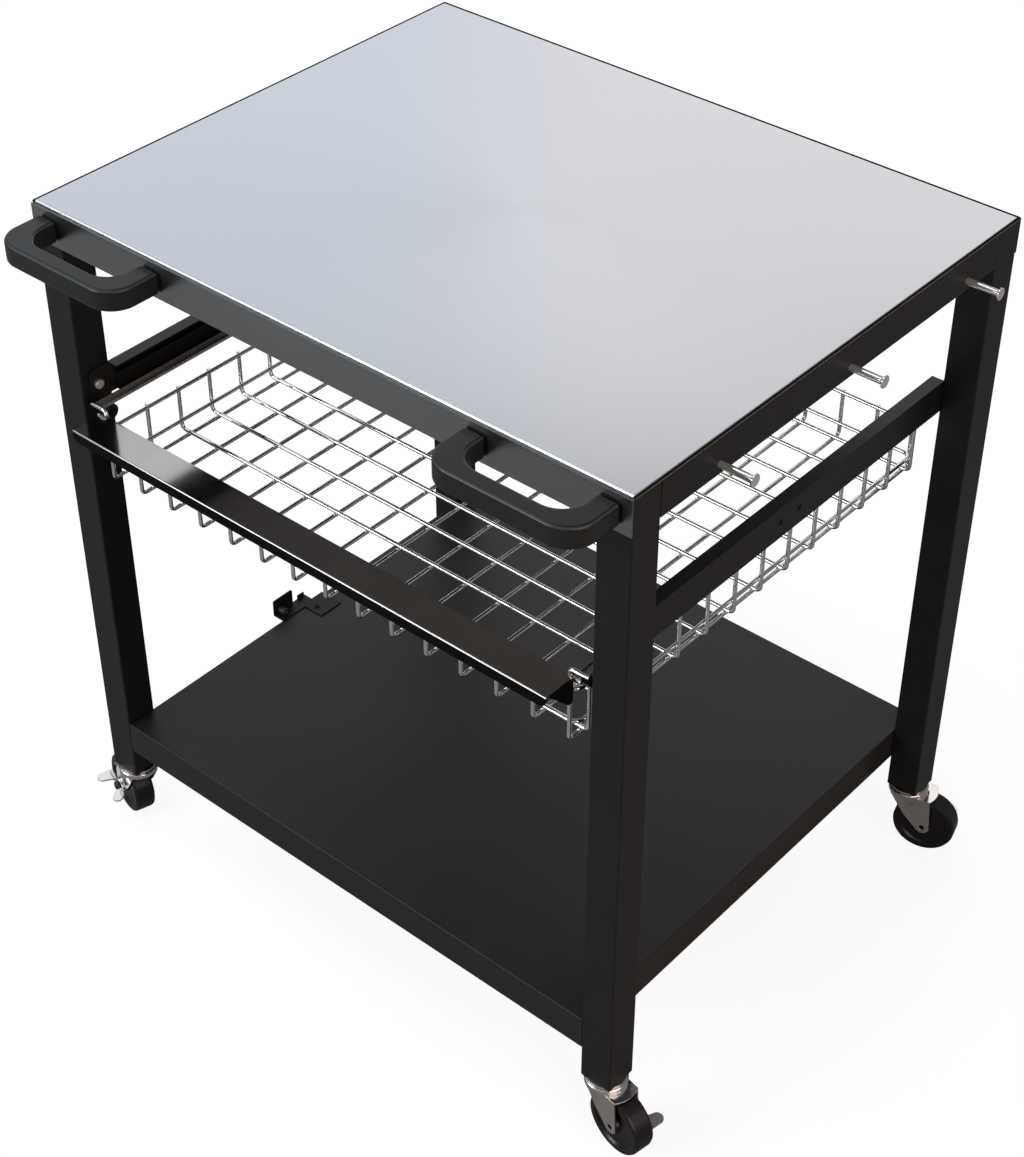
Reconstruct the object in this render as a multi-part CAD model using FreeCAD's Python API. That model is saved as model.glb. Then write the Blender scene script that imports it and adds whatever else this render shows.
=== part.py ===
import FreeCAD, Part
import math
import os
from FreeCAD import Vector as V

# All dimensions are in millimetres. X runs to the right, Y to the back and Z up;
# the origin is on the floor under the middle of the worktop.

# Casters
wheel_r = 37.5
wheel_half_w = 12.5
hub_r = 10.5
hub_slope = 1.5
web_r = 26.0
web_slope = 2.5
web_sink = 2.2
tread_round = (1.0, 3.0)
tread_flat = 3.4
axle_drop = 52.0
trail = 25.7
floor_to_leg = axle_drop + wheel_r

# Legs and worktop
table_h = 852.0
worktop_w = 762.0
worktop_d = 611.0
worktop_t = 3.0
worktop_round = 2.4
leg_side_set_in = 0.4
leg_front_set_out = 1.0
leg_x_out = worktop_w / 2 - leg_side_set_in
leg_y_out = worktop_d / 2 + leg_front_set_out
leg_w = 38.6
leg_wall = 1.6
leg_corner = 1.6
leg_x_in = leg_x_out - leg_w
leg_y_in = leg_y_out - leg_w
frame_top = table_h - worktop_t

# Front and rear aprons, top rails and stiffener
sheet_t = 1.5
apron_h = 39.0
apron_top_lip = 18.0
apron_low_lip = 12.0
rail_h = 40.0
rail_top_lip = 20.0
rail_low_lip = 12.0
stiffener_w = 50.0
stiffener_h = 22.0
apron_face = leg_y_out + sheet_t

# Side rails that carry the drawer slides
side_rail_t = 1.6
side_rail_up = 570.0
side_rail_top = floor_to_leg + side_rail_up
side_rail_h = 37.5
side_rail_lip = 14.7
side_rail_lip_short = 27.0
side_rail_set_in = 9.5
side_rail_reach = leg_y_out - side_rail_set_in
side_rail_corner = 8.0
rail_bolt_in = 11.0
rail_bolt_y = side_rail_reach - rail_bolt_in
rail_bolt_drop = 19.0
rail_bolt_z = side_rail_top - rail_bolt_drop
rail_bolt_r = 3.0
rail_bolt_head_r = 5.4
rail_bolt_head_t = 3.8
rail_bolt_edge_r = 0.8
rail_web_in = leg_x_in - side_rail_t

# Slides: outer member on the side rail, inner member on the basket
outer_t = 1.2
outer_drop = 37.0
outer_low = side_rail_top - outer_drop
outer_depth = 6.8
outer_front_short = 35.0
outer_rear_short = 25.0
outer_front = -side_rail_reach + outer_front_short
outer_rear = side_rail_reach - outer_rear_short
rear_wheel_r = 10.0
roller_gap = 0.3
roller_end_gap = 0.3
outer_h = 2.0 * outer_t + 2.0 * rear_wheel_r + 2.0 * roller_gap
outer_web_in = rail_web_in - outer_t
outer_lip_in = rail_web_in - outer_depth
inner_t = 1.0
inner_w = 11.5
inner_side_gap = 0.6
inner_lip_h = 3.6
inner_x_out = outer_lip_in - inner_side_gap
inner_x_in = inner_x_out - inner_w
inner_drop = 0.1
inner_low = outer_low - inner_drop
slide_travel = 380.0
slide_screw_y = (-17.0, 14.0)
slide_screw_drop = 19.2
slide_screw_z = side_rail_top - slide_screw_drop
slide_screw_r = 2.0
slide_screw_head_r = 3.4
slide_screw_head_t = 0.9
slide_screw_slot = 0.6

# Rollers
front_wheel_r = 9.0
front_wheel_w = 9.5
front_pin_r = 3.0
front_pin_head_r = 4.4
front_pin_head_t = 1.6
roller_bore_gap = 0.05
front_roller_y = -(leg_y_out + leg_y_in) / 2.0
front_roller_z = inner_low - roller_gap - front_wheel_r
front_wheel_in = inner_x_in
rear_roller_in = 32.0
rear_roller_y = outer_rear - rear_roller_in
rear_roller_z = outer_low + outer_t + roller_gap + rear_wheel_r
rear_pin_r = 2.5
rear_pin_head_r = 4.0
rear_pin_head_t = 1.2
rear_tab_w = 26.0

# Basket
wire_r = 2.2
wire_bend = 6.0
basket_drop = 85.2
basket_h = 61.5
basket_low = outer_low - basket_drop
basket_top = basket_low + basket_h
basket_under_slide = 1.4
basket_x = inner_x_in + basket_under_slide
basket_front_set_in = 5.1
basket_rear_short = 3.6
basket_y_front = -leg_y_out + basket_front_set_in
basket_y_rear = outer_rear - basket_rear_short
long_pitch = 44.9
long_each_side = 6
hanger_set_in = 8.3
hanger_x = inner_x_in - hanger_set_in
hanger_bend = 4.4
cross_first_gap = 16.8
cross_first = basket_y_front + cross_first_gap
cross_last_gap = 13.0
cross_count = 13
cross_pitch = (basket_y_rear - cross_last_gap - cross_first) / (cross_count - 1)
ring_top_drop = 1.3
ring_low_rise = 20.1
ring_corner = 10.0
long_z = basket_low + wire_r
cross_z = long_z + 2.0 * wire_r
hook_rise = 1.8
hook_z = inner_low + inner_t + hook_rise
hook_past_slide = 2.0
hook_reach_front = inner_x_out + hook_past_slide
hook_reach_rear = inner_x_out - hook_past_slide
finger_drop = 10.4
finger_z = hook_z - finger_drop
finger_past_edge = 4.5
finger_reach = inner_x_in + finger_past_edge

# Drawer lip
lip_set_in = 2.5
lip_half_w = inner_x_in - lip_set_in
lip_depth = 41.6
lip_front = basket_y_front - lip_depth
lip_drop = 2.0
lip_top = outer_low - lip_drop
lip_t = 1.5
lip_front_h = 13.0
lip_rear_h = 28.0
lip_gusset_low = 31.0
lip_gusset_front = 3.0
lip_gusset_foot = 6.0
lip_flange_corner = 8.0

# Lower shelf
shelf_up = 82.6
shelf_top = floor_to_leg + shelf_up
shelf_h = 41.2
shelf_seat_gap = 0.2
shelf_half_w = leg_x_in - shelf_seat_gap
shelf_set_back = 0.4
shelf_half_d = leg_y_out - shelf_set_back
shelf_lip = 14.0
shelf_bolt_r = 3.0
shelf_bolt_head_r = 5.5
shelf_bolt_head_t = 3.5
shelf_bolt_drop = 20.0
shelf_bolt_z = shelf_top - shelf_bolt_drop
shelf_bolt_spread = 9.0

# Bottle bracket on the left edge of the shelf
bracket_t = 1.6
bracket_plate_reach = 30.8
bracket_plate_in = shelf_half_w - bracket_plate_reach
bracket_overhang = 15.1
bracket_out = shelf_half_w + bracket_overhang
bracket_plate_y = (-18.0, 16.0)
bracket_strip_y = (-55.5, -2.0)
bracket_strip_lap = 2.6
bracket_tab_y = (-55.5, -23.4)
bracket_tab_h = 22.6
bracket_lug_y = (-14.5, -4.0)
bracket_lug_up = 5.5
bracket_lug_down = 5.0
bracket_bore_in = 13.8
bracket_bore = (-shelf_half_w + bracket_bore_in, -8.5)
bracket_screw_r = 2.5
bracket_screw_head_r = 3.2
bracket_screw_head_t = 1.6
bracket_socket_r = 2.0
bracket_hole_gap = 0.2
thumb_y = -46.0
thumb_rise = 5.4
thumb_r = 2.4
thumb_knob_r = 5.0
thumb_knob_t = 12.0
thumb_stud = 2.0

# Handles
handle_w = 173.0
handle_set_in = 12.1
handle_x = (leg_x_out - handle_set_in - handle_w, leg_x_out - handle_set_in)
handle_reach = 61.5
handle_front = -apron_face - handle_reach
handle_drop = 11.0
handle_top = table_h - handle_drop
handle_t = 24.0
handle_arm = 24.0
handle_bar = 19.5
handle_outer_r = 30.0
handle_inner_r = 27.0
handle_edge_r = 3.6
handle_neck_t = 2.6
handle_neck_in = 2.2
handle_screw_r = 2.4
handle_screw_head_r = 4.6
handle_screw_head_t = 3.0
handle_screw_depth = 16.0

# Hooks on the right top rail
hook_y = (-185.0, 15.0, 215.0)
peg_drop = 32.5
peg_z = table_h - peg_drop
peg_r = 3.8
peg_length = 36.4
peg_reach = leg_x_out + peg_length
peg_head_r = 6.5
peg_flare_t = 2.2
peg_head_t = 1.2
peg_tail = 7.0
peg_nut_af = 13.0
peg_nut_t = 6.5
screw_hole_gap = 0.15

# Caster fork, kingpin, axle and brake
cap_r = 22.0
cap_t = 3.2
cup_r = 23.5
cup_gap = 0.4
cup_h = 5.9
fork_t = 2.0
fork_in = 14.7
hub_end_gap = 0.7
fork_out = fork_in + fork_t
crown_z = -(cap_t + cup_gap + cup_h)
flare_h = 20.5
fork_end = 31.2
fork_back = ((-17.5, 0.0), (-9.0, -23.0), (1.0, -38.0))
fork_foot_back = 6.0
fork_foot_low = (1.5, 8.4)
fork_foot_front = 8.5
fork_end_bulge = 4.8
kingpin_r = 5.0
kingpin_head_r = 8.0
kingpin_head_t = 3.2
kingpin_up = 24.0
kingpin_gap = 0.06
leg_plate_t = 4.0
axle_r = 3.2
axle_gap = 0.06
axle_head_r = 5.6
axle_head_t = 4.2
axle_recess = 0.4
axle_drill_r = 2.5
axle_drill_depth = 2.6
brake_gap = 0.3
brake_t = 2.0
brake_hub_r = 9.5
brake_strip = (-12.0, 26.0)
brake_strip_h = 10.0
brake_pad = (16.0, 30.4)
brake_pad_root = 12.0
brake_pad_in = 14.0
brake_pad_centre = 29.0
brake_toe = (-19.3, 29.0)
brake_toe_r = 6.2
brake_toe_lean = 34.0
brake_toe_root = (-11.8, -6.4)
caster_yaw = {
    "front_right": -10.0,
    "rear_right": 16.0,
    "front_left": 163.0,
    "rear_left": 196.0,
}
caster_sign = {
    "front_right": (1, -1),
    "rear_right": (1, 1),
    "front_left": (-1, -1),
    "rear_left": (-1, 1),
}

parts = {}


# Shape helpers
def block(x0, x1, y0, y1, z0, z1):
    lo = V(min(x0, x1), min(y0, y1), min(z0, z1))
    return Part.makeBox(abs(x1 - x0), abs(y1 - y0), abs(z1 - z0), lo)


def rod_x(r, x0, x1, y, z):
    return Part.makeCylinder(r, abs(x1 - x0), V(min(x0, x1), y, z), V(1, 0, 0))


def rod_y(r, y0, y1, x, z):
    return Part.makeCylinder(r, abs(y1 - y0), V(x, min(y0, y1), z), V(0, 1, 0))


def rod_z(r, z0, z1, x, y):
    return Part.makeCylinder(r, abs(z1 - z0), V(x, y, min(z0, z1)), V(0, 0, 1))


def join(shapes):
    whole = shapes[0]
    if len(shapes) > 1:
        whole = whole.multiFuse(shapes[1:])
    return whole.removeSplitter()


def mirror_x(shape):
    return shape.mirror(V(0, 0, 0), V(1, 0, 0))


def mirror_y(shape):
    return shape.mirror(V(0, 0, 0), V(0, 1, 0))


def face_of(points):
    corners = list(points) + [points[0]]
    return Part.Face(Part.makePolygon(corners))


def rounded_path(points, bend, closed=False):
    edges = []
    n = len(points)
    if closed:
        start = (points[0] + points[-1]) * 0.5
        route = [start] + list(points) + [start]
    else:
        route = list(points)
    here = route[0]
    for i in range(1, len(route) - 1):
        corner = route[i]
        back = (corner - route[i - 1]).normalize()
        ahead = (route[i + 1] - corner).normalize()
        cut_in = corner - back * bend
        cut_out = corner + ahead * bend
        centre = cut_in + ahead * bend
        middle = centre + (corner - centre).normalize() * bend
        edges.append(Part.makeLine(here, cut_in))
        edges.append(Part.Arc(cut_in, middle, cut_out).toShape())
        here = cut_out
    edges.append(Part.makeLine(here, route[-1]))
    return Part.Wire(edges)


def bent_wire(points, r, bend, closed=False):
    path = rounded_path(points, bend, closed)
    start = path.Edges[0].Vertexes[0].Point
    along = path.Edges[0].tangentAt(path.Edges[0].FirstParameter)
    ring = Part.Wire(Part.makeCircle(r, start, along))
    return path.makePipeShell([ring], True, False)


def add(name, *shapes):
    solids = []
    for shape in shapes:
        solids.extend(shape.Solids)
    parts[name] = Part.makeCompound(solids) if len(solids) > 1 else solids[0]


# Worktop: a flat sheet with a hemmed, rounded rim
top = block(-worktop_w / 2, worktop_w / 2, -worktop_d / 2, worktop_d / 2, frame_top, table_h)
rim = [e for e in top.Edges if e.BoundBox.ZMin > table_h - 0.01]
add("worktop_sheet", top.makeFillet(worktop_round, rim))

# Stiffening channel under the worktop, between the two top rails
stiff_x = leg_x_out - rail_top_lip - 0.3
stiff = block(-stiff_x, stiff_x, -stiffener_w / 2, stiffener_w / 2, frame_top - stiffener_h, frame_top)
hollow = block(
    -stiff_x, stiff_x,
    -stiffener_w / 2 + sheet_t, stiffener_w / 2 - sheet_t,
    frame_top - stiffener_h, frame_top - sheet_t,
)
add("top_stiffener", stiff.cut(hollow))


# Legs: square tubes with a plate welded in the foot for the caster stem
def leg():
    tube = block(leg_x_in, leg_x_out, leg_y_in, leg_y_out, floor_to_leg, frame_top)
    uprights = [e for e in tube.Edges if e.BoundBox.ZLength > 2.0 * leg_w]
    tube = tube.makeFillet(leg_corner, uprights)
    bore = block(
        leg_x_in + leg_wall, leg_x_out - leg_wall,
        leg_y_in + leg_wall, leg_y_out - leg_wall,
        floor_to_leg + leg_plate_t, frame_top,
    )
    shape = tube.cut(bore)
    cx = (leg_x_in + leg_x_out) / 2
    cy = (leg_y_in + leg_y_out) / 2
    shape = shape.cut(rod_z(kingpin_r + kingpin_gap, floor_to_leg, floor_to_leg + leg_plate_t, cx, cy))
    wall_out = leg_x_in + leg_wall
    shape = shape.cut(rod_x(rail_bolt_r + screw_hole_gap, leg_x_in, wall_out, rail_bolt_y, rail_bolt_z))
    for side in (-1, 1):
        y = cy + side * shelf_bolt_spread
        shape = shape.cut(rod_x(shelf_bolt_r + screw_hole_gap, leg_x_in, wall_out, y, shelf_bolt_z))
    return shape


handle_mid_z = handle_top - handle_t / 2
arm_x_in = handle_x[0] + handle_arm / 2
arm_x_out = handle_x[1] - handle_arm / 2
leg_front = mirror_y(leg())
pin_hole_r = front_pin_r + screw_hole_gap
handle_hole_r = handle_screw_r + screw_hole_gap
pin_hole = rod_x(pin_hole_r, leg_x_in, leg_x_in + leg_wall, front_roller_y, front_roller_z)
handle_hole = rod_y(handle_hole_r, -apron_face, -leg_y_out + leg_wall, arm_x_out, handle_mid_z)
leg_front = leg_front.cut(pin_hole).cut(handle_hole)
add("leg_front_right", leg_front)
add("leg_front_left", mirror_x(leg_front))
add("leg_rear_right", leg())
add("leg_rear_left", mirror_x(leg()))


# Aprons: channels whose faces lap over the front and rear of the legs
def apron():
    low = frame_top - apron_h
    span = leg_x_in - 0.1
    face = block(-leg_x_out, leg_x_out, leg_y_out, apron_face, low, frame_top)
    fold = leg_y_out + sheet_t / 2
    upper = block(-span, span, leg_y_out - apron_top_lip, fold, frame_top - sheet_t, frame_top)
    lower = block(-span, span, leg_y_out - apron_low_lip, fold, low, low + sheet_t)
    return join([face, upper, lower])


front = mirror_y(apron())
for side in (-1, 1):
    for x in (arm_x_in, arm_x_out):
        front = front.cut(rod_y(handle_hole_r, -apron_face, -leg_y_out, side * x, handle_mid_z))
add("apron_front", front)
add("apron_rear", apron())


# Top rails: side channels between the legs, flush with their outer faces
def top_rail():
    low = frame_top - rail_h
    face = block(leg_x_out - sheet_t, leg_x_out, -leg_y_in, leg_y_in, low, frame_top)
    upper = block(leg_x_out - rail_top_lip, leg_x_out, -leg_y_in, leg_y_in, frame_top - sheet_t, frame_top)
    lower = block(leg_x_out - rail_low_lip, leg_x_out, -leg_y_in, leg_y_in, low, low + sheet_t)
    return join([face, upper, lower])


right_rail = top_rail()
for y in hook_y:
    right_rail = right_rail.cut(rod_x(peg_r + screw_hole_gap, leg_x_out - sheet_t, leg_x_out, y, peg_z))
add("top_rail_right", right_rail)
add("top_rail_left", mirror_x(top_rail()))


# Side rails: angles bolted to the inner faces of the legs
def side_rail():
    low = side_rail_top - side_rail_h
    web = block(rail_web_in, leg_x_in, -side_rail_reach, side_rail_reach, low, side_rail_top)
    ends = [
        e for e in web.Edges
        if e.BoundBox.XLength > side_rail_t / 2
        and e.BoundBox.YLength < 0.01
        and e.BoundBox.ZLength < 0.01
    ]
    web = web.makeFillet(side_rail_corner, ends)
    lip = block(
        leg_x_in - side_rail_lip, leg_x_in,
        -side_rail_reach + side_rail_lip_short, side_rail_reach - side_rail_lip_short,
        side_rail_top - side_rail_t, side_rail_top,
    )
    shape = join([web, lip])
    for y in (-rail_bolt_y, rail_bolt_y):
        shape = shape.cut(rod_x(rail_bolt_r + screw_hole_gap, rail_web_in, leg_x_in, y, rail_bolt_z))
    for y in slide_screw_y:
        shape = shape.cut(rod_x(slide_screw_r + screw_hole_gap, rail_web_in, leg_x_in, y, slide_screw_z))
    return shape


add("side_rail_right", side_rail())
add("side_rail_left", mirror_x(side_rail()))

bolts = []
for y in (-rail_bolt_y, rail_bolt_y):
    head = rod_x(rail_bolt_head_r, rail_web_in - rail_bolt_head_t, rail_web_in, y, rail_bolt_z)
    crown = [
        e for e in head.Edges
        if abs(e.BoundBox.XMin - rail_web_in + rail_bolt_head_t) < 0.01 and e.BoundBox.XLength < 0.01
    ]
    head = head.makeFillet(rail_bolt_edge_r, crown)
    shank = rod_x(rail_bolt_r, rail_web_in - 1.0, leg_x_in + 10.0, y, rail_bolt_z)
    bolt = join([head, shank])
    bolts += [bolt, mirror_x(bolt)]
add("side_rail_bolts", *bolts)


# Outer slide members: channels screwed to the side rails
def slide_outer():
    top_z = outer_low + outer_h
    web = block(outer_web_in, rail_web_in, outer_front, outer_rear, outer_low, top_z)
    ledge = block(outer_lip_in, rail_web_in, outer_front, outer_rear, outer_low, outer_low + outer_t)
    upper = block(outer_lip_in, rail_web_in, outer_front, outer_rear, top_z - outer_t, top_z)
    shape = join([web, ledge, upper])
    for y in slide_screw_y:
        hole = rod_x(slide_screw_r + screw_hole_gap, outer_web_in, rail_web_in, y, slide_screw_z)
        shape = shape.cut(hole)
    return shape


add("slide_outer_right", slide_outer())
add("slide_outer_left", mirror_x(slide_outer()))

screws = []
for y in slide_screw_y:
    head = rod_x(slide_screw_head_r, leg_x_in, leg_x_in + slide_screw_head_t, y, slide_screw_z)
    shank = rod_x(slide_screw_r, outer_web_in + 0.2, leg_x_in + 0.5, y, slide_screw_z)
    slot = block(
        leg_x_in + slide_screw_head_t - slide_screw_slot, leg_x_in + slide_screw_head_t,
        y - 0.5, y + 0.5,
        slide_screw_z - slide_screw_head_r, slide_screw_z + slide_screw_head_r,
    )
    screw = join([head, shank]).cut(slot)
    screws += [screw, mirror_x(screw)]
add("slide_screws", *screws)


# Front rollers on pins in the front legs
def roller(r, x0, x1, y, z, bore):
    body = rod_x(r, x0, x1, y, z)
    rims = [e for e in body.Edges if e.BoundBox.XLength < 0.01]
    body = body.makeFillet(1.0, rims)
    return body.cut(rod_x(bore, x0, x1, y, z))


front_wheel_out = front_wheel_in + front_wheel_w
wheel = roller(
    front_wheel_r, front_wheel_in, front_wheel_out,
    front_roller_y, front_roller_z, front_pin_r + roller_bore_gap,
)
add("front_roller_right", wheel)
add("front_roller_left", mirror_x(wheel))

collar_in = front_wheel_out + roller_end_gap
head_face = front_wheel_in - roller_end_gap
pin = join([
    rod_x(front_pin_head_r, head_face - front_pin_head_t, head_face, front_roller_y, front_roller_z),
    rod_x(front_pin_r, head_face - 1.0, leg_x_in + 8.0, front_roller_y, front_roller_z),
    rod_x(front_pin_r + 2.0, collar_in, leg_x_in, front_roller_y, front_roller_z),
])
add("front_roller_pins", pin, mirror_x(pin))


# Inner slide members: shallow channels that roll on the front rollers
inner_front = basket_y_front + wire_r
inner_rear = basket_y_rear - wire_r


def slide_inner():
    floor = block(inner_x_in, inner_x_out, inner_front, inner_rear, inner_low, inner_low + inner_t)
    lip_z = inner_low + inner_lip_h
    lip_a = block(inner_x_in, inner_x_in + inner_t, inner_front, inner_rear, inner_low, lip_z)
    lip_b = block(inner_x_out - inner_t, inner_x_out, inner_front, inner_rear, inner_low, lip_z)
    tab = block(
        inner_x_out - inner_t, inner_x_out,
        rear_roller_y - rear_tab_w / 2, rear_roller_y + rear_tab_w / 2,
        inner_low, rear_roller_z + 6.5,
    )
    top_edges = [
        e for e in tab.Edges
        if e.BoundBox.ZMin > rear_roller_z + 6.0 and e.BoundBox.YLength < 0.01
    ]
    tab = tab.makeFillet(5.0, top_edges)
    shape = join([floor, lip_a, lip_b, tab])
    hole_r = rear_pin_r + screw_hole_gap
    return shape.cut(rod_x(hole_r, inner_x_out - inner_t, inner_x_out, rear_roller_y, rear_roller_z))


add("slide_inner_right", slide_inner())
add("slide_inner_left", mirror_x(slide_inner()))

# Rear rollers on pins riveted to the inner members
rear_wheel_in = inner_x_out + roller_end_gap
rear_wheel_out = outer_web_in - 0.4
wheel = roller(
    rear_wheel_r, rear_wheel_in, rear_wheel_out,
    rear_roller_y, rear_roller_z, rear_pin_r + roller_bore_gap,
)
add("rear_roller_right", wheel)
add("rear_roller_left", mirror_x(wheel))

pin = join([
    rod_x(rear_pin_head_r, inner_x_out - inner_t - rear_pin_head_t, inner_x_out - inner_t,
          rear_roller_y, rear_roller_z),
    rod_x(rear_pin_r, inner_x_out - inner_t - 0.5, rear_wheel_out - 0.5, rear_roller_y, rear_roller_z),
])
add("rear_roller_pins", pin, mirror_x(pin))

# Basket: cross wires lie on the long wires, and both turn up into the walls
cross_wires = []
for i in range(cross_count):
    y = cross_first + i * cross_pitch
    route = [
        V(-basket_x, y, basket_top), V(-basket_x, y, cross_z),
        V(basket_x, y, cross_z), V(basket_x, y, basket_top),
    ]
    cross_wires.append(bent_wire(route, wire_r, wire_bend))
add("basket_cross_wires", *cross_wires)

long_wires = []
for k in range(-long_each_side, long_each_side + 1):
    x = k * long_pitch
    route = [
        V(x, basket_y_front, basket_top), V(x, basket_y_front, long_z),
        V(x, basket_y_rear, long_z), V(x, basket_y_rear, basket_top),
    ]
    long_wires.append(bent_wire(route, wire_r, wire_bend))
add("basket_long_wires", *long_wires)

# The outermost long wires rise above the walls and hook over to the inner members
route = [
    V(hook_reach_front, basket_y_front, hook_z), V(hanger_x, basket_y_front, hook_z),
    V(hanger_x, basket_y_front, long_z), V(hanger_x, basket_y_rear, long_z),
    V(hanger_x, basket_y_rear, hook_z), V(hook_reach_rear, basket_y_rear, hook_z),
]
hanger = bent_wire(route, wire_r, hanger_bend)
fingers = [rod_x(wire_r, hanger_x, finger_reach, y, finger_z) for y in (basket_y_front, basket_y_rear)]
hanger = join([hanger] + fingers)
add("basket_hanger_wires", hanger, mirror_x(hanger))

ring_x = basket_x - 2.0 * wire_r
ring_front = basket_y_front + 2.0 * wire_r
ring_rear = basket_y_rear - 2.0 * wire_r
rings = []
for z in (basket_top - ring_top_drop, basket_low + ring_low_rise):
    route = [
        V(ring_x, ring_front, z), V(ring_x, ring_rear, z),
        V(-ring_x, ring_rear, z), V(-ring_x, ring_front, z),
    ]
    rings.append(bent_wire(route, wire_r, ring_corner, closed=True))
add("basket_rings", *rings)

# Drawer lip: a folded strip in front of the basket with a gusset at each end
lip_back = basket_y_front - wire_r - 0.1
top_strip = block(-lip_half_w, lip_half_w, lip_front, lip_back, lip_top - lip_t, lip_top)
front_flange = block(-lip_half_w, lip_half_w, lip_front, lip_front + lip_t, lip_top - lip_front_h, lip_top)
low_corners = [
    e for e in front_flange.Edges
    if e.BoundBox.YLength > lip_t / 2 and e.BoundBox.XLength < 0.01 and e.BoundBox.ZMax < lip_top - 1.0
]
front_flange = front_flange.makeFillet(lip_flange_corner, low_corners)
rear_flange = block(-lip_half_w, lip_half_w, lip_back - lip_t, lip_back, lip_top - lip_rear_h, lip_top)
shell = join([top_strip, front_flange, rear_flange])
nose = [
    e for e in shell.Edges
    if e.BoundBox.XLength > 2 * lip_half_w - 1
    and abs(e.BoundBox.YMin - lip_front) < 0.01
    and abs(e.BoundBox.ZMin - lip_top) < 0.01
]
gussets = []
gusset_y = lip_back - 0.3
gusset_low = lip_top - lip_gusset_low
for x in (-lip_half_w, lip_half_w - lip_t):
    outline = [
        V(x, lip_front + lip_gusset_front, lip_top - lip_t / 2), V(x, gusset_y, lip_top - lip_t / 2),
        V(x, gusset_y, gusset_low), V(x, gusset_y - lip_gusset_foot, gusset_low),
    ]
    plate = face_of(outline).extrude(V(lip_t, 0, 0))
    foot = [
        e for e in plate.Edges
        if e.BoundBox.XLength > lip_t / 2
        and e.BoundBox.ZMax < gusset_low + 0.01
        and e.BoundBox.YMin > gusset_y - 0.01
    ]
    gussets.append(plate.makeFillet(lip_gusset_foot / 2, foot))
shell = shell.makeFillet(lip_t * 0.9, nose)
add("drawer_lip", join([shell] + gussets))


# Lower shelf: a tray turned over, with folded edges and return lips
def shelf():
    low = shelf_top - shelf_h
    outer = block(-shelf_half_w, shelf_half_w, -shelf_half_d, shelf_half_d, low, shelf_top)
    inner = block(
        -shelf_half_w + sheet_t, shelf_half_w - sheet_t,
        -shelf_half_d + sheet_t, shelf_half_d - sheet_t,
        low + sheet_t, shelf_top - sheet_t,
    )
    mouth = block(
        -shelf_half_w + shelf_lip, shelf_half_w - shelf_lip,
        -shelf_half_d + shelf_lip, shelf_half_d - shelf_lip,
        low, low + sheet_t,
    )
    rim = [
        e for e in outer.Edges
        if abs(e.BoundBox.ZMin - shelf_top) < 0.01
    ]
    outer = outer.makeFillet(sheet_t * 0.8, rim)
    shape = outer.cut(inner).cut(mouth)
    for sx in (-1, 1):
        for sy in (-1, 1):
            for side in (-1, 1):
                y = sy * (leg_y_in + leg_y_out) / 2 + side * shelf_bolt_spread
                x0 = sx * (shelf_half_w - sheet_t)
                hole_r = shelf_bolt_r + screw_hole_gap
                shape = shape.cut(rod_x(hole_r, x0, sx * shelf_half_w, y, shelf_bolt_z))
    bore = rod_z(bracket_screw_r + bracket_hole_gap, shelf_top - sheet_t, shelf_top, *bracket_bore)
    return shape.cut(bore)


add("lower_shelf", shelf())

bolts = []
for sx in (-1, 1):
    for sy in (-1, 1):
        for side in (-1, 1):
            y = sy * (leg_y_in + leg_y_out) / 2 + side * shelf_bolt_spread
            seat = shelf_half_w - sheet_t
            head = rod_x(shelf_bolt_head_r, sx * (seat - shelf_bolt_head_t), sx * seat, y, shelf_bolt_z)
            shank = rod_x(shelf_bolt_r, sx * (seat - 1.0), sx * (leg_x_in + 9.0), y, shelf_bolt_z)
            bolts.append(join([head, shank]))
add("shelf_bolts", *bolts)

# Bottle bracket: a plate screwed to the shelf, with an upright tab and a lug outside its edge
plate_top = shelf_top + bracket_t
tab_in = bracket_out - bracket_t
plate = block(-shelf_half_w - 2.0, -bracket_plate_in, *bracket_plate_y, shelf_top, plate_top)
strip = block(-bracket_out, -shelf_half_w + bracket_strip_lap, *bracket_strip_y, shelf_top, plate_top)
tab = block(-bracket_out, -tab_in, *bracket_tab_y, shelf_top, shelf_top + bracket_tab_h)
tab_top = [
    e for e in tab.Edges
    if e.BoundBox.ZMin > shelf_top + bracket_tab_h - 0.01 and e.BoundBox.XLength > bracket_t / 2
    and e.BoundBox.YLength < 0.01
]
tab = tab.makeFillet(2.5, tab_top)
lug = block(-bracket_out, -tab_in, *bracket_lug_y, shelf_top - bracket_lug_down, plate_top + bracket_lug_up)
bracket = join([plate, strip, tab, lug])
bracket = bracket.cut(rod_z(bracket_screw_r + bracket_hole_gap, shelf_top, plate_top, *bracket_bore))
thumb_z = plate_top + thumb_rise
bracket = bracket.cut(rod_x(thumb_r + bracket_hole_gap, -bracket_out, -tab_in, thumb_y, thumb_z))
add("shelf_bracket", bracket)

screw_top = plate_top + bracket_screw_head_t
head = rod_z(bracket_screw_head_r, plate_top, screw_top, *bracket_bore)
socket = rod_z(bracket_socket_r, screw_top - 1.2, screw_top, *bracket_bore)
shank = rod_z(bracket_screw_r, shelf_top - 9.0, plate_top + 0.5, *bracket_bore)
add("bracket_screw", join([head, shank]).cut(socket))

knob = rod_x(thumb_knob_r, -tab_in, -tab_in + thumb_knob_t, thumb_y, thumb_z)
knob_rim = [e for e in knob.Edges if e.BoundBox.XLength < 0.01 and e.BoundBox.XMin > -tab_in + 1.0]
knob = knob.makeFillet(1.4, knob_rim)
shank = rod_x(thumb_r, -bracket_out - 6.0, -tab_in + thumb_knob_t + thumb_stud, thumb_y, thumb_z)
add("bracket_thumbscrew", join([knob, shank]))


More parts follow.
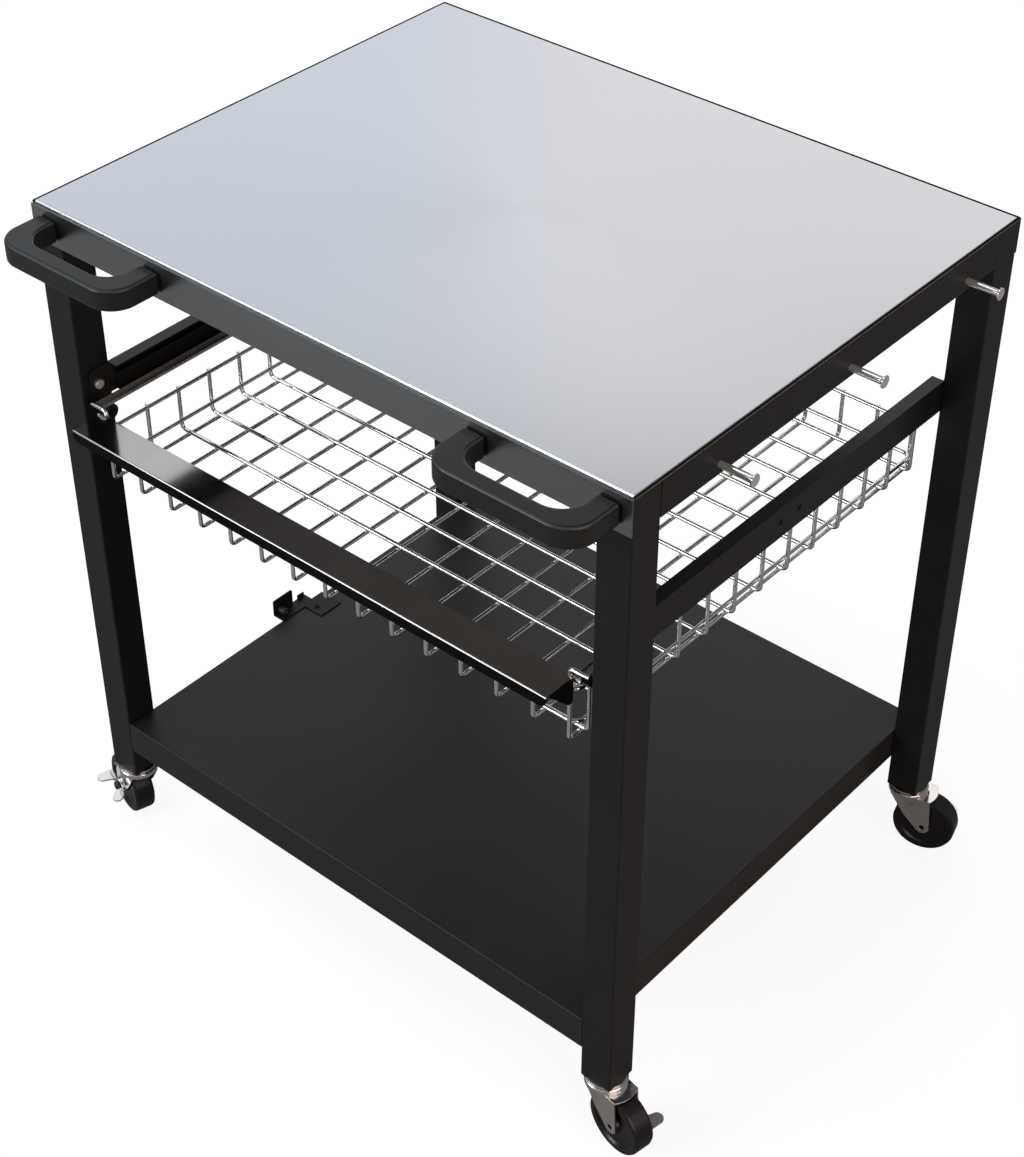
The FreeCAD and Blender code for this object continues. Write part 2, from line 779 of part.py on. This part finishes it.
# Handles: rounded loops screwed to the front apron
def handle():
    x0, x1 = handle_x
    z0 = handle_top - handle_t
    back = -apron_face
    outer = block(x0, x1, handle_front, back, z0, handle_top)
    corners = [
        e for e in outer.Edges
        if e.BoundBox.ZLength > 1 and abs(e.BoundBox.YMin - handle_front) < 0.01
    ]
    outer = outer.makeFillet(handle_outer_r, corners)
    window = block(
        x0 + handle_arm, x1 - handle_arm,
        handle_front + handle_bar, back + handle_bar,
        z0 - 1.0, handle_top + 1.0,
    )
    corners = [
        e for e in window.Edges
        if e.BoundBox.ZLength > 1 and abs(e.BoundBox.YMin - handle_front - handle_bar) < 0.01
    ]
    window = window.makeFillet(handle_inner_r, corners)
    loop = outer.cut(window)
    rounds = [
        e for e in loop.Edges
        if e.BoundBox.ZLength < 0.01 and e.BoundBox.YMin < back - 0.01
    ]
    loop = loop.makeFillet(handle_edge_r, rounds)
    for x in (arm_x_in, arm_x_out):
        collar = block(x - handle_arm, x + handle_arm, back - handle_neck_t, back, z0 - 1.0, handle_top + 1.0)
        reach = handle_arm / 2 - handle_neck_in
        neck = block(
            x - reach, x + reach, back - handle_neck_t, back,
            z0 + handle_neck_in, handle_top - handle_neck_in,
        )
        loop = loop.cut(collar.cut(neck))
        loop = loop.cut(rod_y(handle_hole_r, back - handle_screw_depth, back, x, handle_mid_z))
    return loop


add("handle_right", handle())
add("handle_left", mirror_x(handle()))

screws = []
for x, seat in ((arm_x_in, -leg_y_out), (arm_x_out, -leg_y_out + leg_wall)):
    head = rod_y(handle_screw_head_r, seat, seat + handle_screw_head_t, x, handle_mid_z)
    shank = rod_y(handle_screw_r, -apron_face - handle_screw_depth + 2.0, seat + 1.0, x, handle_mid_z)
    screw = join([head, shank])
    screws += [screw, mirror_x(screw)]
add("handle_screws", *screws)

# Hooks: headed pegs through the right top rail, held by nuts behind it
pegs = []
nuts = []
for y in hook_y:
    shaft = rod_x(peg_r, leg_x_out - sheet_t - peg_tail, peg_reach, y, peg_z)
    flare = Part.makeCone(peg_r, peg_head_r, peg_flare_t, V(peg_reach - peg_flare_t, y, peg_z), V(1, 0, 0))
    head = rod_x(peg_head_r, peg_reach, peg_reach + peg_head_t, y, peg_z)
    pegs.append(join([shaft, flare, head]))
    flat = peg_nut_af / 2 / math.cos(math.pi / 6)
    x1 = leg_x_out - sheet_t
    outline = []
    for i in range(6):
        turn = math.radians(60 * i)
        outline.append(V(x1 - peg_nut_t, y + flat * math.cos(turn), peg_z + flat * math.sin(turn)))
    nut = face_of(outline).extrude(V(peg_nut_t, 0, 0))
    nuts.append(nut.cut(rod_x(peg_r + screw_hole_gap, x1 - peg_nut_t, x1, y, peg_z)))
add("tool_hooks", *pegs)
add("tool_hook_nuts", *nuts)


# Casters, built with the trail along +X and the swivel axis on Z, top of the stem plate at 0
def caster_stem():
    cap = rod_z(cap_r, -cap_t, 0, 0, 0)
    cap = cap.makeFillet(1.2, [e for e in cap.Edges if e.BoundBox.ZLength < 0.01 and e.BoundBox.ZMax < -1.0])
    pin = rod_z(kingpin_r, -(cap_t + cup_gap + fork_t + 0.3 + 1.0), kingpin_up, 0, 0)
    head_z = -(cap_t + cup_gap + fork_t + 0.3)
    head = rod_z(kingpin_head_r, head_z - kingpin_head_t, head_z, 0, 0)
    return join([cap, pin, head])


def fork_profile(half):
    start = V(fork_back[0][0], -half, crown_z)
    left = [V(x, -half, z) for x, z in fork_back[1:]]
    left.append(V(trail - fork_foot_back, -half, -axle_drop - fork_foot_back))
    low = V(trail + fork_foot_low[0], -half, -axle_drop - fork_foot_low[1])
    right = V(trail + fork_foot_front, -half, -axle_drop)
    corner = V(fork_end, -half, crown_z)
    edges = []
    here = start
    for p in left:
        edges.append(Part.makeLine(here, p))
        here = p
    edges.append(Part.Arc(here, low, right).toShape())
    edges.append(Part.makeLine(right, corner))
    edges.append(Part.makeLine(corner, start))
    return Part.Face(Part.Wire(edges)).extrude(V(0, 2 * half, 0))


def caster_fork():
    cup_top = -(cap_t + cup_gap)
    wide = fork_profile(cup_r + 5.0)
    flare = Part.makeCone(cup_r, fork_out, flare_h, V(0, 0, crown_z), V(0, 0, -1)).common(wide)
    arc = Part.Arc(
        V(fork_end, -fork_out, crown_z),
        V(fork_end + fork_end_bulge, 0, crown_z),
        V(fork_end, fork_out, crown_z),
    ).toShape()
    chord = Part.makeLine(V(fork_end, fork_out, crown_z), V(fork_end, -fork_out, crown_z))
    brow = Part.Face(Part.Wire([arc, chord])).extrude(V(0, 0, -fork_t))
    outer = fork_profile(fork_out).fuse([flare, brow])
    channel = block(-2 * fork_end, 2 * fork_end, -fork_in, fork_in, crown_z - fork_t, -axle_drop - wheel_r)
    under = Part.makeCone(cup_r - fork_t, fork_in, flare_h, V(0, 0, crown_z), V(0, 0, -1))
    cup = rod_z(cup_r, crown_z, cup_top, 0, 0)
    rim = [e for e in cup.Edges if e.BoundBox.ZLength < 0.01 and e.BoundBox.ZMin > crown_z + 1.0]
    cup = cup.makeFillet(1.4, rim)
    body = outer.fuse(cup).cut(channel).cut(under)
    body = body.cut(rod_z(cup_r - fork_t, crown_z - 0.01, cup_top - fork_t, 0, 0))
    body = body.cut(rod_z(kingpin_r + kingpin_gap, crown_z, cup_top, 0, 0))
    body = body.cut(rod_y(axle_r + axle_gap, -fork_out - 5, fork_out + 5, trail, -axle_drop))
    return body.removeSplitter()


def caster_wheel():
    half = wheel_half_w
    hub = fork_in - hub_end_gap
    outline = [
        (axle_r + axle_gap, -hub), (hub_r - hub_slope, -hub),
        (hub_r, -half + web_sink), (web_r, -half + web_sink),
        (web_r + web_slope, -half), (wheel_r - tread_round[1], -half),
        (wheel_r - tread_round[0], -half + tread_round[0]),
        (wheel_r, -half + tread_flat),
    ]
    outline += [(r, -a) for r, a in reversed(outline)]
    face = face_of([V(trail + r, a, -axle_drop) for r, a in outline])
    return face.revolve(V(trail, 0, -axle_drop), V(0, 1, 0), 360)


def caster_axle():
    seat = fork_out + brake_gap + brake_t + brake_gap
    pin = rod_y(axle_r, -fork_out + axle_recess, seat + 1.0, trail, -axle_drop)
    drill = rod_y(axle_drill_r, -fork_out, -fork_out + axle_recess + axle_drill_depth, trail, -axle_drop)
    head = rod_y(axle_head_r, seat, seat + axle_head_t, trail, -axle_drop)
    rim = [e for e in head.Edges if e.BoundBox.YLength < 0.01 and e.BoundBox.YMin > seat + 1.0]
    head = head.makeFillet(1.2, rim)
    return join([pin, head]).cut(drill)


def caster_brake():
    a0 = fork_out + brake_gap
    a1 = a0 + brake_t
    strip = block(
        trail + brake_strip[0], trail + brake_strip[1], a0, a1,
        -axle_drop - brake_strip_h / 2, -axle_drop + brake_strip_h / 2,
    )
    hub = rod_y(brake_hub_r, a0, a1, trail, -axle_drop)
    low = -axle_drop - brake_t / 2
    high = -axle_drop + brake_t / 2
    pad_x = trail + (brake_pad[0] + brake_pad[1]) / 2
    pad = block(trail + brake_pad[0], trail + brake_pad[1], brake_pad_in, brake_pad_centre, low, high)
    pad_end = rod_z((brake_pad[1] - brake_pad[0]) / 2, low, high, pad_x, brake_pad_centre)
    outline = [
        V(trail + brake_pad_root, a0, low), V(trail + brake_pad[0], brake_pad_centre, low),
        V(pad_x, brake_pad_centre, low), V(pad_x, a0, low),
    ]
    pad_web = face_of(outline).extrude(V(0, 0, brake_t))
    toe_x = trail + brake_toe[0]
    toe_end = rod_z(brake_toe_r, low, high, toe_x, brake_toe[1])
    lean = math.radians(brake_toe_lean)
    side = V(math.sin(lean), math.cos(lean), 0) * brake_toe_r
    centre = V(toe_x, brake_toe[1], low)
    outline = [
        centre - side, centre + side,
        V(trail + brake_toe_root[1], brake_toe[1] - 2.6, low), V(trail + brake_toe_root[1], a0, low),
        V(trail + brake_toe_root[0], a0, low),
    ]
    toe = face_of(outline).extrude(V(0, 0, brake_t))
    body = join([strip, hub, pad, pad_end, pad_web, toe, toe_end])
    return body.cut(rod_y(axle_r + axle_gap, a0, a1, trail, -axle_drop))


pieces = {
    "caster_stem": caster_stem(),
    "caster_fork": caster_fork(),
    "caster_wheel": caster_wheel(),
    "caster_axle": caster_axle(),
    "caster_brake": caster_brake(),
}
cx = (leg_x_in + leg_x_out) / 2
cy = (leg_y_in + leg_y_out) / 2
for corner, yaw in caster_yaw.items():
    sx, sy = caster_sign[corner]
    for name, shape in pieces.items():
        placed = shape.copy()
        placed.rotate(V(0, 0, 0), V(0, 0, 1), yaw)
        placed.translate(V(sx * cx, sy * cy, floor_to_leg))
        add(name + "_" + corner, placed)

os.makedirs("parts", exist_ok=True)
for name, shape in parts.items():
    shape.exportStep("parts/" + name + ".step")
print(len(parts), "nodes")
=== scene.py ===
import math

import bpy
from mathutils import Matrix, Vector

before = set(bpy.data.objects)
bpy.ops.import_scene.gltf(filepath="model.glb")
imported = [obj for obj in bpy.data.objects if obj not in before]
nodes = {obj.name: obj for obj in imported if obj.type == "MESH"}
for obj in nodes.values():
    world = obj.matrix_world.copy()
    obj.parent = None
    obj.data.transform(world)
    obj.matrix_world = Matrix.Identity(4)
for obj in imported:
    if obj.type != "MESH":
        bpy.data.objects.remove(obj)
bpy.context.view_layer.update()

scene = bpy.context.scene

# Camera, set up to match the photograph's viewpoint: metres, degrees and the image's pixels
camera_place = (1.28417, -1.51037, 1.96513)
camera_turn = (51.5721, -0.0994, 40.5815)
focal_px = 2274.17
centre_px = (518.47, 572.21)
image_px = (1024, 1157)
sensor_mm = 36.0
view_range = (0.05, 60.0)

camera = bpy.data.cameras.new("camera")
camera.sensor_width = sensor_mm
camera.lens = focal_px * sensor_mm / image_px[1]
camera.shift_x = (image_px[0] / 2 - centre_px[0]) / image_px[1]
camera.shift_y = (centre_px[1] - image_px[1] / 2) / image_px[1]
camera.clip_start, camera.clip_end = view_range
camera_object = bpy.data.objects.new("camera", camera)
camera_object.location = camera_place
camera_object.rotation_euler = [math.radians(a) for a in camera_turn]
scene.collection.objects.link(camera_object)
scene.camera = camera_object


def grey(value):
    return (value, value, value)


def opaque(colour):
    return (*colour, 1.0)


def set_inputs(node, values):
    for name, value in values.items():
        node.inputs[name.replace("_", " ")].default_value = value


def add_node(tree, kind, **values):
    node = tree.nodes.new("ShaderNode" + kind)
    set_inputs(node, values)
    return node


# Ramps run over the range where most values of a noise lie, or of two added noises
noise_span = (0.35, 0.65)
wide_span = (0.3, 0.7)
sum_span = (0.7, 1.3)

# The Mix node's sockets for colours, which share their names with those for numbers
colour_a, colour_b, colour_result = 6, 7, 2

bevel_samples = 4
finishes = {}


class Finish:
    """A Principled material whose nodes are added one at a time."""

    def __init__(self, name):
        material = bpy.data.materials.new(name)
        material.use_nodes = True
        self.tree = material.node_tree
        self.tree.nodes.clear()
        output = self.node("OutputMaterial")
        self.shader = self.node("BsdfPrincipled")
        self.link(self.shader.outputs[0], output.inputs["Surface"])
        self.place = self.node("TexCoord").outputs["Object"]
        finishes[name] = material

    def node(self, kind, **values):
        return add_node(self.tree, kind, **values)

    def link(self, source, target):
        self.tree.links.new(source, target)

    def set(self, **values):
        set_inputs(self.shader, values)

    def feed(self, socket, source):
        self.link(source, self.shader.inputs[socket])

    def noise(self, scale, detail=3.0, rough=0.5, stretch=None):
        place = self.place
        if stretch:
            mapping = self.node("Mapping", Scale=stretch)
            self.link(place, mapping.inputs["Vector"])
            place = mapping.outputs[0]
        node = self.node("TexNoise", Scale=scale, Detail=detail, Roughness=rough)
        self.link(place, node.inputs["Vector"])
        return node.outputs["Fac"]

    def ramp(self, source, low, high, span=noise_span):
        node = self.node("MapRange", From_Min=span[0], From_Max=span[1], To_Min=low, To_Max=high)
        self.link(source, node.inputs["Value"])
        return node.outputs[0]

    def mix(self, factor, first, second):
        node = self.node("Mix")
        node.data_type = "RGBA"
        for socket, value in ((colour_a, first), (colour_b, second)):
            if isinstance(value, tuple):
                node.inputs[socket].default_value = opaque(value)
            else:
                self.link(value, node.inputs[socket])
        self.link(factor, node.inputs[0])
        return node.outputs[colour_result]

    def tone(self, source, dark, light, span=noise_span):
        return self.mix(self.ramp(source, low=0.0, high=1.0, span=span), dark, light)

    def math(self, kind, first, second):
        node = self.node("Math")
        node.operation = kind
        for i, value in enumerate((first, second)):
            if isinstance(value, float):
                node.inputs[i].default_value = value
            else:
                self.link(value, node.inputs[i])
        return node.outputs[0]

    def axes(self):
        node = self.node("SeparateXYZ")
        self.link(self.place, node.inputs[0])
        return node.outputs

    # Masks are 1 where they hold and 0 elsewhere
    def above(self, value, limit):
        return self.math("GREATER_THAN", value, limit)

    def below(self, value, limit):
        return self.math("LESS_THAN", value, limit)

    def both(self, first, second):
        return self.math("MULTIPLY", first, second)

    def either(self, first, second):
        return self.math("MAXIMUM", first, second)

    def outside(self, mask):
        return self.math("SUBTRACT", 1.0, mask)

    def add(self, first, second):
        return self.math("ADD", first, second)

    # The first number outside the mask and the second in it
    def blend(self, mask, first, second):
        return self.add(self.both(mask, second), self.both(self.outside(mask), first))

    def shares(self, first, second, share):
        return self.add(
            self.math("MULTIPLY", first, share), self.math("MULTIPLY", second, 1.0 - share)
        )

    def bevel(self, radius):
        node = self.node("Bevel", Radius=radius)
        node.samples = bevel_samples
        return node.outputs[0]

    def bump(self, height, strength, distance, edge=0.0):
        node = self.node("Bump", Strength=strength, Distance=distance)
        self.link(height, node.inputs["Height"])
        if edge:
            self.link(self.bevel(edge), node.inputs["Normal"])
        self.feed("Normal", node.outputs[0])


# Streaks of brushed sheet run along X
brush_stretch = (5.0, 900.0, 900.0)
broad_stretch = (1.0, 9.0, 9.0)

# Where the worktop's colour changes, in metres: the fold along its front, with a painted highlight
# on its upper rim and a painted dark reflection below that, the painted dark reflection on the
# rounded edge of the other sides, and the underside
fold_y = -0.3032
fold_base_z = 0.8494
fold_painted_dark_z = 0.8510
highlight_rim_y = -0.3043
highlight_rim_base_z = 0.8508
right_edge_x = 0.3788
right_edge_top_z = 0.8517
left_edge_x = -0.3767
back_edge_y = 0.3006
underside_z = 0.8493


# Brushed steel of the worktop: painted highlight on the front rim, painted dark reflection on the
# other edges, dull underside
def brushed_steel(name):
    f = Finish(name)
    x, y, z = f.axes()
    streaks = f.noise(scale=1.0, detail=3.0, rough=0.6, stretch=brush_stretch)
    broad = f.noise(scale=1.0, detail=2.0, rough=0.5, stretch=broad_stretch)
    cloud = f.noise(scale=3.0, detail=2.0)
    fold = f.both(f.below(y, fold_y), f.above(z, fold_base_z))
    highlight_rim = f.both(f.below(y, highlight_rim_y), f.above(z, highlight_rim_base_z))
    # Masks for the painted dark reflection along the right, back and left edges
    right = f.both(f.above(x, right_edge_x), f.below(z, right_edge_top_z))
    back = f.either(f.above(y, back_edge_y), f.below(x, left_edge_x))
    edge = f.either(right, back)
    under = f.below(z, underside_z)
    dull = f.either(edge, under)

    dark_steel, light_steel = (0.645, 0.65, 0.685), (0.66, 0.665, 0.70)
    fold_painted_reflection, rim_painted_highlight = grey(0.10), (0.92, 0.92, 0.93)
    edge_painted_reflection, under_colour = grey(0.012), (0.50, 0.485, 0.475)
    brushed_low, brushed_high, dull_rough = 0.23, 0.26, 0.45
    top_specular = 0.5

    steel = f.tone(f.shares(streaks, broad, share=0.5), dark_steel, light_steel, wide_span)
    # Front fold: a painted dark reflection on its lower part and a painted highlight on its rim
    folded = f.mix(f.below(z, fold_painted_dark_z), steel, fold_painted_reflection)
    folded = f.mix(highlight_rim, folded, rim_painted_highlight)
    shade = f.mix(edge, f.mix(fold, steel, folded), edge_painted_reflection)
    f.feed("Base Color", f.mix(under, shade, under_colour))
    f.feed("Metallic", f.outside(dull))
    f.feed("Specular IOR Level", f.math("MULTIPLY", f.outside(edge), top_specular))
    brushed = f.ramp(f.add(streaks, cloud), brushed_low, brushed_high, sum_span)
    f.feed("Roughness", f.blend(dull, brushed, dull_rough))
    f.set(Anisotropic=0.3)
    f.bump(f.both(streaks, f.outside(fold)), strength=0.006, distance=0.0001)


# Satin steel of the front apron, darker than the worktop, with a streaky gloss
def satin_steel(name):
    f = Finish(name)
    streaks = f.noise(scale=1.0, detail=3.0, rough=0.6, stretch=brush_stretch)
    cloud = f.noise(scale=5.0, detail=2.0)
    f.feed("Base Color", f.tone(cloud, dark=(0.285, 0.29, 0.297), light=(0.305, 0.31, 0.317)))
    f.feed("Roughness", f.ramp(streaks, low=0.275, high=0.285))
    f.set(Metallic=1.0)


# The lip's top strip and nose are polished steel, and what lies below this height is painted
lip_painted_z = 0.61905
lip_paint = (0.003, 0.003, 0.0035)
lip_paint_rough = 0.4


def lip_finish(name):
    f = Finish(name)
    painted = f.below(f.axes()[2], lip_painted_z)
    fine = f.noise(scale=900.0, detail=3.0, rough=0.6)
    cloud = f.noise(scale=12.0, detail=3.0)
    steel = f.tone(cloud, dark=(0.425, 0.405, 0.39), light=(0.475, 0.455, 0.44))
    polished = f.ramp(fine, low=0.07, high=0.12)
    f.feed("Base Color", f.mix(painted, steel, lip_paint))
    f.feed("Metallic", f.outside(painted))
    f.feed("Roughness", f.blend(painted, polished, lip_paint_rough))
    f.set(Specular_IOR_Level=0.05)
    f.bump(fine, strength=0.02, distance=0.0001)


# Powder coat: fine orange peel, a slightly clouded tone and edges that catch the light
def powder_coat(name, dark, light, rough):
    f = Finish(name)
    peel = f.noise(scale=1500.0, detail=2.0, rough=0.5)
    cloud = f.noise(scale=7.0, detail=4.0, rough=0.6)
    fine = f.noise(scale=420.0, detail=3.0, rough=0.6)
    f.feed("Base Color", f.tone(f.shares(cloud, fine, share=0.7), dark, light))
    grain = f.add(cloud, fine)
    f.feed("Roughness", f.ramp(grain, low=rough - 0.05, high=rough + 0.06, span=sum_span))
    f.set(Specular_IOR_Level=0.28)
    f.bump(peel, strength=0.14, distance=0.0003, edge=0.0006)


# Moulded plastic with a fine leather grain and a painted highlight along the handles' upper edge,
# which lies between these heights
highlight_base_z = 0.8390
highlight_top_z = 0.8405
painted_highlight_colour = (0.048, 0.053, 0.058)


def moulded_plastic(name, dark, light, rough):
    f = Finish(name)
    z = f.axes()[2]
    leather = f.node("TexVoronoi", Scale=1500.0)
    f.link(f.place, leather.inputs["Vector"])
    cloud = f.noise(scale=9.0, detail=3.0)
    fine = f.noise(scale=600.0, detail=3.0)
    # A painted highlight: a lighter band along the handles' upper edge
    highlight_band = f.both(f.above(z, highlight_base_z), f.below(z, highlight_top_z))
    f.feed("Base Color", f.mix(highlight_band, f.tone(cloud, dark, light), painted_highlight_colour))
    f.feed("Roughness", f.ramp(fine, low=rough - 0.02, high=rough + 0.02))
    f.set(Specular_IOR_Level=0.30)
    f.bump(leather.outputs["Distance"], strength=0.015, distance=0.0002)


# Bare or plated metal; bump roughens it, and edge rounds its corners by that many metres
def plated_metal(name, dark, light, rough, metal=1.0, bump=0.0, edge=0.0):
    f = Finish(name)
    cloud = f.noise(scale=40.0, detail=3.0)
    fine = f.noise(scale=1100.0, detail=3.0, rough=0.6)
    f.feed("Base Color", f.tone(cloud, dark, light))
    grain = f.add(cloud, fine)
    f.feed("Roughness", f.ramp(grain, low=rough - 0.03, high=rough + 0.05, span=sum_span))
    f.set(Metallic=metal)
    if bump:
        f.bump(fine, strength=bump, distance=0.0002)
    if edge:
        f.feed("Normal", f.bevel(edge))


# Black rubber of the wheels, with a fine rough skin
def rubber(name):
    f = Finish(name)
    fine = f.noise(scale=900.0, detail=4.0, rough=0.6)
    cloud = f.noise(scale=30.0, detail=3.0)
    f.feed("Base Color", f.tone(cloud, dark=(0.0055, 0.0055, 0.006), light=(0.0095, 0.009, 0.009)))
    f.feed("Roughness", f.ramp(fine, low=0.26, high=0.34))
    f.set(Specular_IOR_Level=0.4)
    f.bump(fine, strength=0.06, distance=0.0003)


brushed_steel("worktop_steel")
satin_steel("apron_steel")
powder_coat("frame_paint", (0.0082, 0.0079, 0.0078), (0.0113, 0.0109, 0.0108), rough=0.34)
powder_coat("shelf_paint", (0.0160, 0.0144, 0.0144), (0.0196, 0.0177, 0.0177), rough=0.36)
powder_coat("bracket_paint", grey(0.004), grey(0.007), rough=0.42)
moulded_plastic("handle_plastic", (0.0126, 0.0128, 0.0130), (0.0154, 0.0156, 0.0159), rough=0.31)
moulded_plastic("roller_nylon", grey(0.006), grey(0.009), rough=0.4)
plated_metal("wire_chrome", (0.82, 0.81, 0.80), (0.90, 0.89, 0.88), rough=0.06)
plated_metal("peg_chrome", grey(0.95), grey(0.98), rough=0.05, metal=0.8)
lip_finish("lip_steel")
plated_metal("slide_steel", (0.42, 0.405, 0.395), (0.50, 0.485, 0.475), rough=0.26, metal=0.75)
plated_metal("bolt_steel", grey(0.72), grey(0.80), rough=0.34, metal=0.8, bump=0.03)
plated_metal("black_steel", grey(0.03), grey(0.05), rough=0.25, bump=0.06)
plated_metal("caster_chrome", (0.78, 0.75, 0.73), (0.88, 0.86, 0.85), rough=0.12, edge=0.0007)
rubber("wheel_black")

# Finishes of single nodes; the others get theirs by words in their names
node_finish = {
    "worktop_sheet": "worktop_steel",
    "apron_front": "apron_steel",
    "lower_shelf": "shelf_paint",
    "shelf_bracket": "bracket_paint",
    "bracket_screw": "bracket_paint",
    "bracket_thumbscrew": "handle_plastic",
    "drawer_lip": "lip_steel",
    "tool_hooks": "peg_chrome",
    "slide_outer_left": "frame_paint",
    "slide_outer_right": "frame_paint",
    "slide_screws": "black_steel",
    "front_roller_pins": "black_steel",
}


def finish_of(name):
    if name in node_finish:
        return node_finish[name]
    if name.startswith("basket"):
        return "wire_chrome"
    if name.startswith("caster_axle"):
        return "black_steel"
    if name.startswith("caster"):
        return "wheel_black" if "wheel" in name else "caster_chrome"
    if name.startswith(("handle_left", "handle_right")):
        return "handle_plastic"
    if any(word in name for word in ("pins", "screw", "bolt", "nuts")):
        return "bolt_steel"
    if "roller" in name:
        return "roller_nylon"
    if name.startswith("slide"):
        return "slide_steel"
    return "frame_paint"


for name, thing in nodes.items():
    thing.data.materials.clear()
    thing.data.materials.append(finishes[finish_of(name)])


def split_by_ray(tree, camera_shader, other_shader, surface):
    """Gives camera rays one shader and all other rays the other."""
    path = add_node(tree, "LightPath")
    choose = add_node(tree, "MixShader")
    tree.links.new(path.outputs["Is Camera Ray"], choose.inputs[0])
    tree.links.new(other_shader.outputs[0], choose.inputs[1])
    tree.links.new(camera_shader.outputs[0], choose.inputs[2])
    tree.links.new(choose.outputs[0], surface)


# Stage: a pale floor that looks white to the camera and keeps the object's shadow
floor_half = 15.0
floor_grey = 0.30
floor_seen_grey = 0.26
floor_glow = 0.87


def floor_finish():
    material = bpy.data.materials.new("floor")
    material.use_nodes = True
    tree = material.node_tree
    tree.nodes.clear()
    output = add_node(tree, "OutputMaterial")
    plain = add_node(tree, "BsdfDiffuse", Color=opaque(grey(floor_grey)))
    seen = add_node(tree, "BsdfDiffuse", Color=opaque(grey(floor_seen_grey)))
    glow = add_node(tree, "Emission", Strength=floor_glow)
    lit = add_node(tree, "AddShader")
    tree.links.new(seen.outputs[0], lit.inputs[0])
    tree.links.new(glow.outputs[0], lit.inputs[1])
    split_by_ray(tree, lit, plain, output.inputs["Surface"])
    return material


corner_signs = ((-1, -1), (1, -1), (1, 1), (-1, 1))
floor_corners = [(x * floor_half, y * floor_half, 0) for x, y in corner_signs]
floor_mesh = bpy.data.meshes.new("floor")
floor_mesh.from_pydata(floor_corners, [], [(0, 1, 2, 3)])
floor = bpy.data.objects.new("floor", floor_mesh)
floor_mesh.materials.append(floor_finish())
scene.collection.objects.link(floor)

# The studio's walls: plain white to the camera, dim to the object
wall_tint = (0.98, 0.98, 1.0)
wall_strength = 0.22

world = bpy.data.worlds.new("studio")
scene.world = world
world.use_nodes = True
walls = world.node_tree
white = walls.nodes["Background"]
set_inputs(white, {"Color": opaque(grey(1.0)), "Strength": 1.0})
dim = add_node(walls, "Background", Color=opaque(wall_tint), Strength=wall_strength)
split_by_ray(walls, white, dim, walls.nodes["World Output"].inputs["Surface"])


def soft_box(name, place, target, width, height, power, tint):
    light = bpy.data.lights.new(name, "AREA")
    light.shape = "RECTANGLE"
    light.size = width
    light.size_y = height
    light.energy = power
    light.color = tint
    thing = bpy.data.objects.new(name, light)
    thing.location = place
    thing.rotation_euler = (Vector(target) - Vector(place)).to_track_quat("-Z", "Y").to_euler()
    scene.collection.objects.link(thing)


# The worktop mirrors the two wide boxes behind the table, and the hooks mirror the one on top. The
# one high on the left draws the bright edges. In front, a wide box and a cool key light the front
# faces, and a warm fill lights the right ones.
soft_box(
    "back_left", place=(-3.34, 1.77, 2.33), target=(-1.08, -0.89, 0.85),
    width=2.8, height=2.55, power=17.9, tint=(0.87, 0.94, 1.0),
)
soft_box(
    "back_right", place=(-1.18, 3.55, 2.33), target=(1.08, 0.89, 0.85),
    width=2.8, height=2.55, power=19.7, tint=(1.0, 0.985, 0.965),
)
soft_box(
    "left_high", place=(-3.0, -1.0, 4.0), target=(0.0, -0.3, 0.8),
    width=1.3, height=3.1, power=26.0, tint=(0.84, 0.93, 1.0),
)
soft_box(
    "top", place=(-1.3, -0.3, 3.7), target=(-0.2, -0.1, 0.8),
    width=1.8, height=1.2, power=9.0, tint=(0.97, 0.99, 1.0),
)
soft_box(
    "front", place=(0.8, -5.2, 2.2), target=(0.2, 0.0, 0.85),
    width=7.0, height=2.4, power=20.0, tint=(0.98, 0.99, 1.0),
)
soft_box(
    "key", place=(-1.8, -3.4, 1.7), target=(0.0, -0.2, 0.5),
    width=2.0, height=2.0, power=72.0, tint=(0.94, 0.98, 1.0),
)
soft_box(
    "fill", place=(3.2, -0.8, 1.8), target=(0.0, 0.0, 0.5),
    width=2.8, height=2.4, power=56.0, tint=(1.0, 0.80, 0.69),
)

scene.view_settings.view_transform = "Standard"
